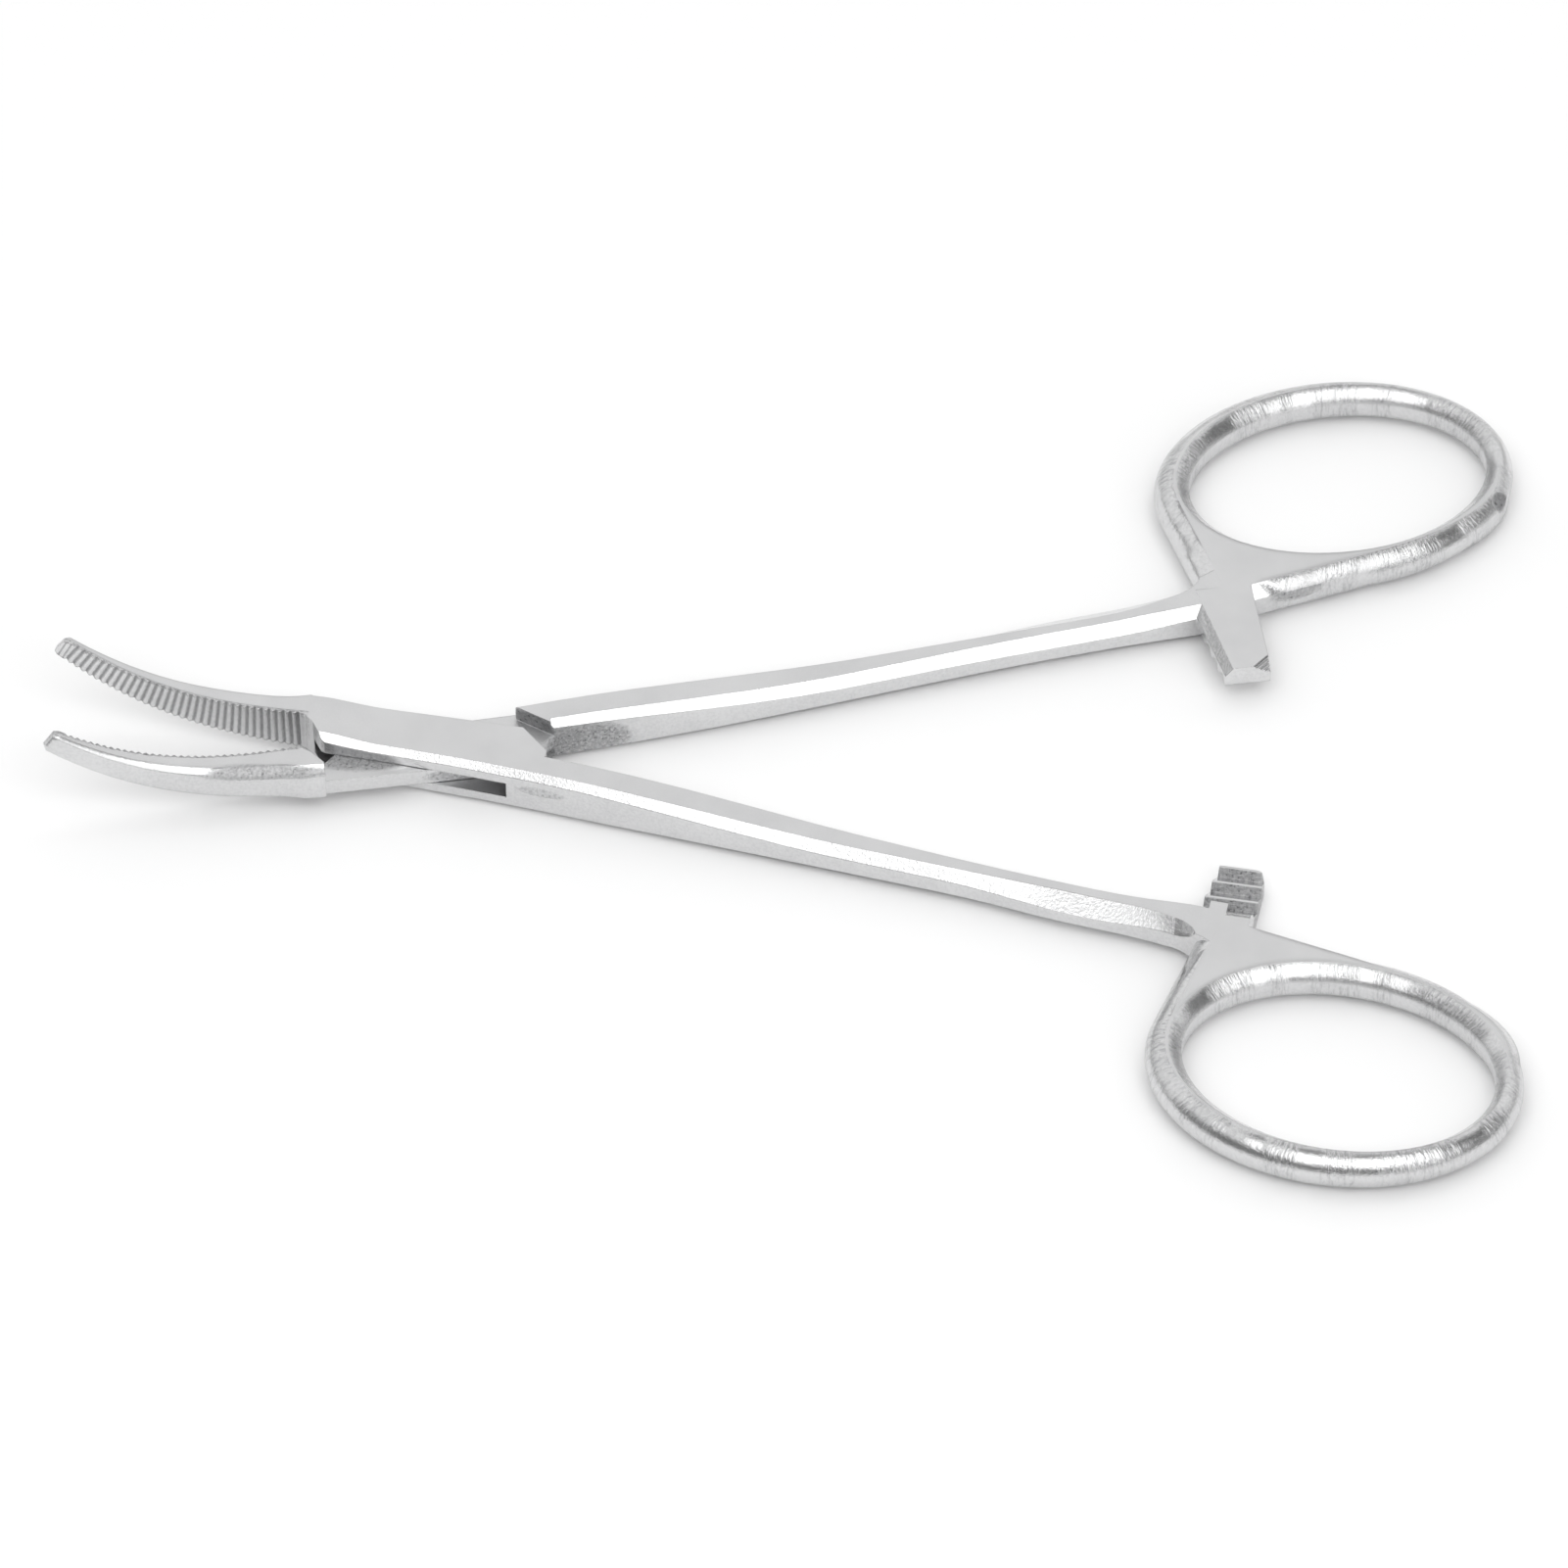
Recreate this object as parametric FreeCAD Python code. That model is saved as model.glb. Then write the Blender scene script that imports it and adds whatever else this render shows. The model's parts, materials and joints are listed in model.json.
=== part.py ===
"""Curved hemostat forceps with a box lock, modelled in three pieces.

Millimetres, +Z up. The rest plane z = 0 is the underside of the lock and of the
finger rings, and the hinge axis is the Z axis. +X runs to the rings, -X to the tips.

Each half is drawn closed, along the X axis, with its jaw at negative y and its
shank and ring at positive y. The box half is the mirror image of that drawing.
Both halves are then turned apart by HALF_OPEN to the partly open rest pose.
"""
import FreeCAD, Part
import math
import os

V = FreeCAD.Vector
UP = V(0, 0, 1)

# Pose
HALF_OPEN = 9.9            # each half turned from the closed line, degrees

# Lock
LOCK_T = 4.2               # thickness of the lock
MID = LOCK_T / 2           # middle plane of the lock
TONGUE_T = 1.4             # thickness of the tongue
TONGUE_PLAY = 0.05         # gap above and below the tongue
LOCK_BEVEL = 0.56          # bevel on the long edges of the lock
LOCK_FRONT = -10.9         # where the jaw starts
JAW_SIDE_Y = 2.38          # closed line to the flat edge on the jaw side of the lock
JAW_SIDE_TAPER = 0.1       # narrowing of that side towards the jaw
FRONT_RISE = 0.55          # rise of the upper face towards the jaw
FRONT_LIFT = 0.95          # rise of the lower face towards the jaw
FRONT_X0 = -4.0            # where both rises start
CHEEK_REAR_X = 6.57        # rear corner of a cheek on the jaw side
CHEEK_CORNER = 0.45        # short straight end of that corner
FRONT_MID = (-10.0, 0.75)  # front of the box half, bend and outer end
FRONT_END = (-9.05, 2.1)
CROTCH_X = 9.35            # where the two shanks part
CROTCH_Y = 0.19
SHOULDER_GAP = 0.22        # between the shoulders of the two halves, closed
SLOT_END_X = 6.4           # end wall of the slot at the outer side
SIDE_W = JAW_SIDE_Y + LOCK_BEVEL   # half width of the lock
TONGUE_NEAR_W = 2.4        # closed line to the edge of the tongue
TONGUE_WALL_GAP = 0.2      # between the tongue and the end walls of the slot

# Hinge pin
PIN_R = 1.25
PIN_PLAY = 0.04            # running clearance in the tongue

# Jaws
JAW_U0 = 9.5               # start of the jaw curve, distance from the hinge
TIP_U = 21.3               # length of the jaw curve
RISE_0 = 0.75              # centreline above the middle plane at the start
RISE_K, RISE_P = 0.00265, 2.585    # rise = RISE_K (u - RISE_U)^RISE_P
RISE_U = 2.0
JAW_H0, JAW_H1 = 3.9, 1.85         # height at the lock and at the tip
JAW_W0, JAW_W1 = 2.6, 0.8          # width at the lock and at the tip
JAW_NARROWING = 1.3        # narrows faster towards the tip
JAW_BEVEL = 0.27           # bevel as a share of the width
JAW_GAP = 0.03             # between the closed jaws
TOOTH_PITCH = 0.61         # serrations
TOOTH_DEPTH = 0.24
TOOTH_LAND = 0.1
TOOTH_FIRST, TOOTH_LAST = 2.0, 20.6
NOSE_L, NOSE_IN = 0.35, 0.22       # length and narrowing of the nose at the tip

# Shank
SHANK_T = 3.0              # thickness where the shank is thinnest
RING_T = 3.6               # thickness of the ring end
SHANK_X0, SHANK_X1 = 10.0, 66.0
THIN_X0, THIN_X1 = 36.0, 55.0
SHANK_LIFT = 0.12          # underside of the thin stretch above the rest plane
OUT_Y0, OUT_SLOPE = 2.69, 0.0951   # outer edge of the top flat at x = 10
OUT_BEND = 0.0022          # bend of that edge along the lock
FLARE = 1.3                # how far the outer edge flares into the ring
FLARE_X = 53.0
IN_Y0, IN_Y1 = 0.74, 6.95  # inner edge of the top flat, at x = 10 and 64
IN_WAVE = 0.27             # gentle S of the inner edge
BEVEL_MID = 0.92           # bevel of the shank at its widest
OUT_BEVEL_W, OUT_BEVEL_D = 1.5, 1.0     # wider outer bevel towards the ring
END_X = 66.0
RUN_OUT = 1.8              # length over which the outer bevel closes at the ring

# Finger ring
RING_C = (77.5, 21.4)      # centre of the finger hole
RING_TILT = 5.2            # long axis of the oval to the closed line, degrees
HOLE_A, HOLE_B = 12.5, 9.15        # half axes of the hole
RING_BEVEL = 1.05          # bevel round the hole
OUTER_SHIFT = (-0.35, -0.05)       # centre of the outline from that of the hole
OUTER_A, OUTER_B = 15.05, 11.85    # half axes of the outline
RING_ROUND = 1.6           # how far the outer side is rounded back at top and bottom
ROUND_SPAN = 72.0          # half angle of that rounding, degrees
WEB_CORNER = (64.0, 9.4)   # corner between the ring and the shank
WEB_FOOT_Y = 6.0           # midline end of the web, above the ratchet bar
SIDE_BEVEL = 0.95          # bevel of the midline side
# midline side from the bar to the rear corner, as angles on the oval and distances outside it
SIDE_CURVE = ((-109.8, 1.26), (-89.7, -0.19), (-72.3, -0.4), (-52.6, -0.18), (-34.0, 0.15),
              (-18.4, -0.23), (1.9, -0.7), (19.6, -0.81))

# Ratchet
BAR_X0, BAR_X1 = 64.25, 68.0        # sides of the bar at its free end
BAR_SLANT = 0.15           # slope of the side facing the lock
BAR_ROOT_Y = 8.5
SIDE_START = (-0.6, -1.15)  # where the midline side starts, from the root corner of the bar
MALE_END_Y, FEMALE_END_Y = -1.3, 0.15
BAR_GAP = 0.1              # between the tooth crests of the two bars
RATCHET_PITCH = 1.78
RATCHET_DEPTH = 0.8
RATCHET_TEETH = 3
TOOTH_CREST = 0.2          # flat on top of each tooth
TOOTH_LEAN = 0.35          # run of the steep face that holds
BAR_ROUND = 0.9            # rounded corner of the lower bar
BAR_SIDE_W, BAR_SIDE_D = 0.7, 0.8       # sloping side of the upper bar that faces the lock
BAR_CORNER_X, BAR_CORNER_Y, BAR_CORNER_Z = 1.5, 1.3, 0.8    # grooved bevel on its end corner
CORNER_GROOVE, CORNER_GROOVES = 0.12, 3    # depth and number of the grooves on that bevel


def poly(points, z=0.0):
    """Closed polygon wire from plan points."""
    pts = [V(x, y, z) for x, y in points]
    return Part.makePolygon(pts + [pts[0]])


def prism(points, z0, z1):
    """Upright prism on a plan polygon."""
    return Part.Face(poly(points, z0)).extrude(V(0, 0, z1 - z0))


def loft(sections, ruled=False):
    """Solid through polygon sections given as lists of points."""
    wires = [Part.makePolygon(list(s) + [s[0]]) for s in sections]
    return Part.makeLoft(wires, True, ruled)


def ease(a, b, x0, x1, x):
    """Smooth step from a at x0 to b at x1, either way along x."""
    t = min(1.0, max(0.0, (x - x0) / (x1 - x0)))
    return a + (b - a) * t * t * (3 - 2 * t)


def top_z(x):
    """Height of the upper face of lock, shank and ring end."""
    if x < 0:
        return ease(LOCK_T, LOCK_T + FRONT_RISE, FRONT_X0, LOCK_FRONT, x)
    if x < THIN_X1:
        return ease(LOCK_T, SHANK_T + SHANK_LIFT, SHANK_X0, THIN_X0, x)
    return ease(SHANK_T + SHANK_LIFT, RING_T, THIN_X1, SHANK_X1, x)


def low_z(x):
    """Height of the lower face."""
    if x < 0:
        return ease(0.0, FRONT_LIFT, FRONT_X0, FRONT_END[0] - SHOULDER_GAP, x)
    if x < THIN_X1:
        return ease(0.0, SHANK_LIFT, SHANK_X0, THIN_X0, x)
    return ease(SHANK_LIFT, 0.0, THIN_X1, SHANK_X1, x)


def bevel(x):
    """Width of the bevel along lock and shank."""
    if x < 36:
        return ease(LOCK_BEVEL, 0.82, 2.0, 36.0, x)
    if x < 54:
        return ease(0.82, BEVEL_MID, 36.0, 54.0, x)
    return BEVEL_MID


def out_bevel_w(x):
    """Width of the outer bevel, wider towards the ring."""
    if x < 55:
        return bevel(x) if x < 43 else ease(bevel(43), OUT_BEVEL_W, 43, 54, x)
    return ease(OUT_BEVEL_W, BEVEL_MID, 56, WEB_CORNER[0], x)


def out_bevel_d(x):
    """Depth of the outer bevel."""
    return bevel(x) if x < 43 else ease(bevel(43), OUT_BEVEL_D, 43, 54, x)


def run_out(x):
    """Share of the outer bevel that is left where it closes at the ring."""
    t = max(0.0, (x - WEB_CORNER[0] + RUN_OUT) / RUN_OUT)
    return math.sqrt(max(0.02, 1 - 0.98 * t * t))


def out_y(x):
    """Outer edge of the top flat, from the lock to the ring."""
    y = OUT_Y0 + OUT_SLOPE * (x - SHANK_X0)
    if x < SHANK_X0:
        y += OUT_BEND * (x - SHANK_X0) ** 2
    if x > FLARE_X:
        y += FLARE * ((x - FLARE_X) / (64.0 - FLARE_X)) ** 3
    return y


def out_top(x):
    """Outer edge of the top flat with the run-out of its bevel."""
    return out_y(x) + out_bevel_w(x) * (1 - run_out(x))


def end_bevel_w(x):
    """Width of the outer bevel with its run-out."""
    return out_bevel_w(x) * run_out(x)


def end_bevel_d(x):
    """Depth of the outer bevel with its run-out."""
    return out_bevel_d(x) * run_out(x)


def in_y(x):
    """Inner edge of the top flat of the shank."""
    t = (x - SHANK_X0) / (64.0 - SHANK_X0)
    return IN_Y0 + (IN_Y1 - IN_Y0) * t - IN_WAVE * math.sin(2 * math.pi * t)


def stations(x0, x1, n):
    """Evenly spaced values from x0 to x1."""
    return [x0 + (x1 - x0) * i / (n - 1) for i in range(n)]


def smooth_edge(points, level=False):
    """Edge through points as one smooth curve, with level ends along x if asked."""
    c = Part.BSplineCurve()
    if level:
        c.interpolate(Points=points, InitialTangent=V(1, 0, 0), FinalTangent=V(1, 0, 0))
    else:
        c.interpolate(points)
    return c.toShape()


def side_slab(x0=-20.0, x1=80.0):
    """Slab between the lower and the upper face, seen from the side."""
    y = -20
    front_x1 = FRONT_END[0] - SHOULDER_GAP
    edges, ends = [], []
    for face, rise in ((top_z, (LOCK_FRONT, FRONT_X0)), (low_z, (front_x1, FRONT_X0))):
        corner = V(x0, y, face(x0))
        for a, b in (rise, (SHANK_X0, THIN_X0), (THIN_X1, SHANK_X1)):
            points = [V(x, y, face(x)) for x in stations(a, b, 7)]
            edges += [Part.makeLine(corner, points[0]), smooth_edge(points, True)]
            corner = points[-1]
        last = V(x1, y, face(x1))
        edges.append(Part.makeLine(corner, last))
        ends.append((V(x0, y, face(x0)), last))
    edges += [Part.makeLine(ends[0][i], ends[1][i]) for i in (0, 1)]
    return Part.Face(Part.Wire(Part.__sortEdges__(edges))).extrude(V(0, 60, 0))


def jaw_side(x):
    """Edge of the flat on the jaw side of the lock."""
    return -ease(JAW_SIDE_Y, JAW_SIDE_Y - JAW_SIDE_TAPER, -3.0, LOCK_FRONT, x)


def bevel_cutter(x0, x1, edge, side, upper, n=12, wide=bevel, deep=bevel):
    """Wedge that takes the bevel off one long edge."""
    over = 0.8
    sections = []
    for x in stations(x0, x1, n):
        w, d = wide(x), deep(x)
        y = edge(x)
        z = top_z(x) if upper else low_z(x)
        dz = 1 if upper else -1
        ya, yc = y - side * over * w, y + side * (1 + over) * w
        za, zc = z + dz * over * d, z - dz * (1 + over) * d
        sections.append([V(x, ya, za), V(x, yc, zc), V(x, yc, za)])
    return loft(sections)


def jaw_frame(u):
    """Point and unit tangent of the jaw centreline, tangent towards the tip."""
    d = max(0.0, u - RISE_U)
    p = V(-JAW_U0 - u, 0, MID + RISE_0 + RISE_K * d ** RISE_P)
    t = V(-1, 0, RISE_K * RISE_P * d ** (RISE_P - 1))
    t.normalize()
    return p, t


def jaw_section(p, n, w, h, b):
    """Corners of a jaw section of width w and half height h, with bevels b on its outer side."""
    y1 = -JAW_GAP / 2
    rows = [(y1, h), (-w + b, h), (-w, h - b), (-w, -h + b), (-w + b, -h), (y1, -h)]
    return [p + V(0, y, 0) + n * z for y, z in rows]


def jaw():
    """Jaw with its bevels, from the lock to the tip, contact face at y near 0."""
    y1 = -JAW_GAP / 2
    x = LOCK_FRONT
    b = bevel(x)
    y, top, low = jaw_side(x), top_z(x), low_z(x)
    sections = [[V(x, y1, top), V(x, y, top), V(x, y - b, top - b),
                 V(x, y - b, low + b), V(x, y, low), V(x, y1, low)]]
    for u in (4.2, 7.5, 11.0, 14.5, 18.0, TIP_U):
        p, t = jaw_frame(u)
        n = V(t.z, 0, -t.x)
        k = u / TIP_U
        h = (JAW_H0 + (JAW_H1 - JAW_H0) * k) / 2
        w = JAW_W0 + (JAW_W1 - JAW_W0) * k ** JAW_NARROWING
        b = JAW_BEVEL * w
        sections.append(jaw_section(p, n, w, h, b))
    nose = jaw_section(p + t * NOSE_L, n, w - NOSE_IN, h - NOSE_IN, b)
    return loft(sections).fuse(loft([sections[-1], nose], True))


def serrations():
    """Crosswise grooves over the whole contact face."""
    half = (TOOTH_PITCH - TOOTH_LAND) / 2
    grooves = []
    s = TOOTH_FIRST
    while s < TOOTH_LAST:
        p, t = jaw_frame(s)
        n = V(t.z, 0, -t.x)
        y = -JAW_GAP / 2
        k = 1.3
        tri = [p + t * half * k + V(0, y + (k - 1) * TOOTH_DEPTH, 0) - n * 4,
               p - t * half * k + V(0, y + (k - 1) * TOOTH_DEPTH, 0) - n * 4,
               p + V(0, y - TOOTH_DEPTH, 0) - n * 4]
        grooves.append(Part.Face(Part.makePolygon(tri + [tri[0]])).extrude(n * 8))
        s += TOOTH_PITCH * -t.x
    return grooves


def ellipse_face(c, a, b, z):
    """Face inside an ellipse turned by RING_TILT."""
    e = Part.Ellipse(V(0, 0, 0), a, b).toShape()
    f = Part.Face(Part.Wire([e]))
    f.rotate(V(0, 0, 0), UP, RING_TILT)
    f.translate(V(c[0], c[1], z))
    return f


def oval_point(c, degrees, out=0.0):
    """Plan point at an angle of the oval, moved outwards by a distance."""
    t, tilt = math.radians(degrees), math.radians(RING_TILT)
    n = V(math.cos(t) / OUTER_A, math.sin(t) / OUTER_B, 0)
    n.normalize()
    x, y = OUTER_A * math.cos(t) + n.x * out, OUTER_B * math.sin(t) + n.y * out
    return (c[0] + x * math.cos(tilt) - y * math.sin(tilt), c[1] + x * math.sin(tilt) + y * math.cos(tilt))


def rounded_oval(c):
    """Oval slab of the ring with its outer side rounded from top to bottom."""
    steep = math.radians(ROUND_SPAN)
    wires = []
    for a in stations(-steep, steep, 9):
        inset = RING_ROUND * (1 - math.cos(a)) / (1 - math.cos(steep))
        z = RING_T / 2 * (1 + math.sin(a) / math.sin(steep))
        wires.append(ellipse_face(c, OUTER_A - inset, OUTER_B - inset, z).OuterWire)
    return Part.makeLoft(wires, True, False)


def touching(c):
    """Point where a line from the web corner touches the oval."""
    best = None
    for degrees in stations(90, 270, 400):
        px, py = oval_point(c, degrees)
        turn = math.atan2(py - WEB_CORNER[1], px - WEB_CORNER[0])
        if best is None or turn > best[0]:
            best = (turn, px, py)
    return best[1], best[2]


def inset_polygon(points, insets):
    """Corners of a clockwise polygon with each edge moved inwards by its own amount."""
    out = []
    n = len(points)
    for i in range(n):
        p0, p1, p2 = (V(*points[(i + k) % n], 0) for k in (-1, 0, 1))
        u, w = p1 - p0, p2 - p1
        u.normalize()
        w.normalize()
        nu, nw, du, dw = V(u.y, -u.x, 0), V(w.y, -w.x, 0), insets[i - 1], insets[i]
        det = nu.x * nw.y - nu.y * nw.x
        out.append(p1 + V((du * nw.y - dw * nu.y) / det, (dw * nu.x - du * nw.x) / det, 0))
    return out


def web(c):
    """Web between the shank and the oval, rounded on its outer side."""
    tx, ty = touching(c)
    kx = (tx - WEB_CORNER[0]) / (ty - WEB_CORNER[1])
    corner = (WEB_CORNER[0] - kx * (WEB_CORNER[1] - WEB_FOOT_Y), WEB_FOOT_Y)
    outline = [corner, (tx, ty), RING_C, (BAR_X1, BAR_ROOT_Y), (BAR_X1, WEB_FOOT_Y)]
    steep = math.radians(ROUND_SPAN)
    sections = []
    for a in stations(-steep, steep, 9):
        inset = RING_ROUND * (1 - math.cos(a)) / (1 - math.cos(steep))
        z = RING_T / 2 * (1 + math.sin(a) / math.sin(steep))
        sections.append([p + V(0, 0, z) for p in inset_polygon(outline, (inset, 0, 0, 0, inset))])
    return loft(sections)


def side_bar(c):
    """Bevelled midline side of the ring, from the ratchet bar to the rear corner."""
    curve = Part.BSplineCurve()
    path = [(BAR_X1 + SIDE_START[0], BAR_ROOT_Y + SIDE_START[1])]
    path += [oval_point(c, degrees, out) for degrees, out in SIDE_CURVE]
    curve.interpolate([V(x, y, 0) for x, y in path])
    wires = []
    b = SIDE_BEVEL
    for z, d in ((0, b), (b, 0), (RING_T - b, 0), (RING_T, b)):
        points = []
        for u in stations(curve.FirstParameter, curve.LastParameter, 12):
            t = curve.tangent(u)[0]
            points.append(curve.value(u) + V(-t.y * d, t.x * d, z))
        inner = [points[-1], V(RING_C[0] + HOLE_A / 2, RING_C[1], z),
                 V(BAR_X1 - 1.5, BAR_ROOT_Y + 2, z), points[0]]
        edges = [smooth_edge(points)] + [Part.makeLine(p, q) for p, q in zip(inner, inner[1:])]
        wires.append(Part.Wire(edges))
    return Part.makeLoft(wires, True, True)


def ring():
    """Finger ring without its hole, with the web that joins it to the shank."""
    c = (RING_C[0] + OUTER_SHIFT[0], RING_C[1] + OUTER_SHIFT[1])
    return rounded_oval(c).fuse(web(c)).fuse(side_bar(c))


def finger_hole():
    """Oval hole with a bevel above and below."""
    cut = ellipse_face(RING_C, HOLE_A, HOLE_B, -1).extrude(V(0, 0, RING_T + 2))
    over = 0.4
    for z, d in ((RING_T, 1), (0, -1)):
        g = RING_BEVEL
        w0 = ellipse_face(RING_C, HOLE_A, HOLE_B, z - d * g).OuterWire
        w1 = ellipse_face(RING_C, HOLE_A + g + over, HOLE_B + g + over, z + d * over).OuterWire
        cut = cut.fuse(Part.makeLoft([w0, w1], True, True))
    return cut


def arm(x0, xi, chain):
    """Lock and shank between the outer and the inner side.

    The outer side starts at x0 and the inner side at xi. The chain is the outline
    round the lock, from the start of the inner side to that of the outer side.
    """
    outer = [V(x, out_y(x) + out_bevel_w(x), -1) for x in stations(x0, END_X, 16)]
    inner = [V(x, in_y(x) - bevel(x), -1) for x in stations(xi, END_X, 10)]
    edges = [smooth_edge(outer), Part.makeLine(outer[-1], inner[-1]), smooth_edge(inner[::-1])]
    corners = [inner[0]] + [V(x, y, -1) for x, y in chain] + [outer[0]]
    for a, b in zip(corners, corners[1:]):
        edges.append(Part.makeLine(a, b))
    body = Part.Face(Part.Wire(edges)).extrude(V(0, 0, LOCK_T + 2))
    body = body.common(side_slab())
    for upper in (True, False):
        for a, b, n in ((x0 - 1, WEB_CORNER[0] - RUN_OUT, 18), (WEB_CORNER[0] - RUN_OUT, WEB_CORNER[0], 7)):
            body = body.cut(bevel_cutter(a, b, out_top, 1, upper, n, end_bevel_w, end_bevel_d))
        body = body.cut(bevel_cutter(xi - 0.2, BAR_X0 + 0.3, in_y, -1, upper, 14))
    return body


def bar(end_y, upper):
    """Ratchet bar, upper with teeth below or lower with teeth above."""
    mid = RING_T / 2
    z0, z1 = (mid + BAR_GAP / 2, RING_T) if upper else (0.0, mid - BAR_GAP / 2)
    face, d = (z0, 1) if upper else (z1, -1)
    root_x = BAR_X0 - BAR_SLANT * (BAR_ROOT_Y - end_y)
    body = prism([(BAR_X0, end_y), (BAR_X1, end_y), (BAR_X1, BAR_ROOT_Y), (root_x, BAR_ROOT_Y)], z0, z1)
    if upper:
        body = body.cut(sloping_side(end_y, root_x)).cut(grooved_corner(end_y))
    else:
        ends = [e for e in body.Edges if abs(e.BoundBox.ZLength - (z1 - z0)) < 1e-6
                and e.BoundBox.YMax < end_y + 0.1 and e.BoundBox.XMin > BAR_X1 - 0.1]
        body = body.makeFillet(BAR_ROUND, ends)
    for i in range(RATCHET_TEETH):
        y0 = end_y + TOOTH_CREST + i * RATCHET_PITCH
        y1 = y0 + RATCHET_PITCH - TOOTH_CREST
        x = root_x - 1
        groove = [V(x, y0, face - d * 0.01), V(x, y0 + TOOTH_LEAN, face + d * RATCHET_DEPTH),
                  V(x, y1, face - d * 0.01)]
        body = body.cut(Part.Face(Part.makePolygon(groove + [groove[0]])).extrude(V(BAR_X1 - x + 1, 0, 0)))
    return body


def sloping_side(end_y, root_x):
    """Wedge off the upper edge of the bar's side that faces the lock."""
    over = 0.5
    sections = []
    for x, y in ((BAR_X0 + BAR_SLANT, end_y - 1), (root_x, BAR_ROOT_Y)):
        x1, x2 = x - over * BAR_SIDE_W, x + (1 + over) * BAR_SIDE_W
        z1, z2 = RING_T - (1 + over) * BAR_SIDE_D, RING_T + over * BAR_SIDE_D
        sections.append([V(x1, y, z1), V(x2, y, z2), V(x1, y, z2)])
    return loft(sections, True)


def grooved_corner(end_y):
    """Cutter for the grooved bevel on the end corner of the upper bar."""
    p = V(BAR_X1 - BAR_CORNER_X, end_y, RING_T)
    q = V(BAR_X1, end_y + BAR_CORNER_Y, RING_T)
    r = V(BAR_X1, end_y, RING_T - BAR_CORNER_Z)
    out = (q - p).cross(r - p)
    out.normalize()
    if out.z < 0:
        out = -out
    middle = (p + q + r) / 3
    wide = [middle + (v - middle) * 3 for v in (p, q, r)]
    cut = Part.Face(Part.makePolygon(wide + [wide[0]])).extrude(out * 3)
    along = (q - p).normalize()
    across = out.cross(along) * CORNER_GROOVE
    for i in range(1, CORNER_GROOVES + 1):
        start = p + (r - p) * (i / (CORNER_GROOVES + 1.0)) - along
        tri = [start + across + out * 0.01, start - out * CORNER_GROOVE, start - across + out * 0.01]
        cut = cut.fuse(Part.Face(Part.makePolygon(tri + [tri[0]])).extrude(along * 4))
    return cut


def jaw_side_outline(x0, x1):
    """Points along the jaw side of the lock."""
    return [(x, jaw_side(x) - bevel(x)) for x in stations(x0, x1, 5)]


def jaw_side_bevels(body, x1):
    """Bevels of the jaw side of the lock, up to x1."""
    for upper in (True, False):
        body = body.cut(bevel_cutter(LOCK_FRONT - 1, x1, jaw_side, -1, upper, 10))
    return body


def front_line(gap):
    """Front of the box half between the jaws, moved forward by the gap."""
    return [(LOCK_FRONT - gap, -JAW_GAP / 2), (FRONT_MID[0] - gap, FRONT_MID[1]),
            (FRONT_END[0] - gap, FRONT_END[1])]


def rear_line(gap):
    """Rear of the cheeks between the shanks, moved back by the gap."""
    y = jaw_side(CHEEK_REAR_X) - bevel(CHEEK_REAR_X)
    return [(CROTCH_X + gap, CROTCH_Y), (CHEEK_REAR_X + gap, y + CHEEK_CORNER),
            (CHEEK_REAR_X + gap, y)]


def mirrored(points):
    return [(x, -y) for x, y in points]


def finish(body):
    """Finger hole and serrations, common to both halves."""
    body = body.cut(finger_hole())
    return body.cut(Part.makeCompound(serrations()))


def box_half():
    """Half with the two cheeks and the lower ratchet bar."""
    chain = rear_line(0)[1:] + jaw_side_outline(-2.0, LOCK_FRONT) + front_line(0)
    lock = jaw_side_bevels(arm(FRONT_END[0] + 0.35, CROTCH_X, chain), CHEEK_REAR_X + 1)
    reach = TONGUE_T / 2 + TONGUE_PLAY
    slot = prism([(-SLOT_END_X, -SIDE_W), (-CROTCH_X - 0.65, CROTCH_Y + 0.61), (-14, 8), (SLOT_END_X, 8),
                  (SLOT_END_X, SIDE_W), (CROTCH_X, CROTCH_Y), (14, -4), (14, -8), (-SLOT_END_X, -8)],
                 MID - reach, MID + reach)
    lock = lock.cut(slot.cut(prism([(CROTCH_X, CROTCH_Y), (14, -4), (20, -4), (20, 8), (CROTCH_X, 8)],
                                   0, LOCK_T)))
    body = finish(lock.fuse(jaw()).fuse(ring()).fuse(bar(FEMALE_END_Y, False)))
    return body.cut(Part.makeCylinder(PIN_R, LOCK_T + 2, V(0, 0, -1)))


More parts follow.
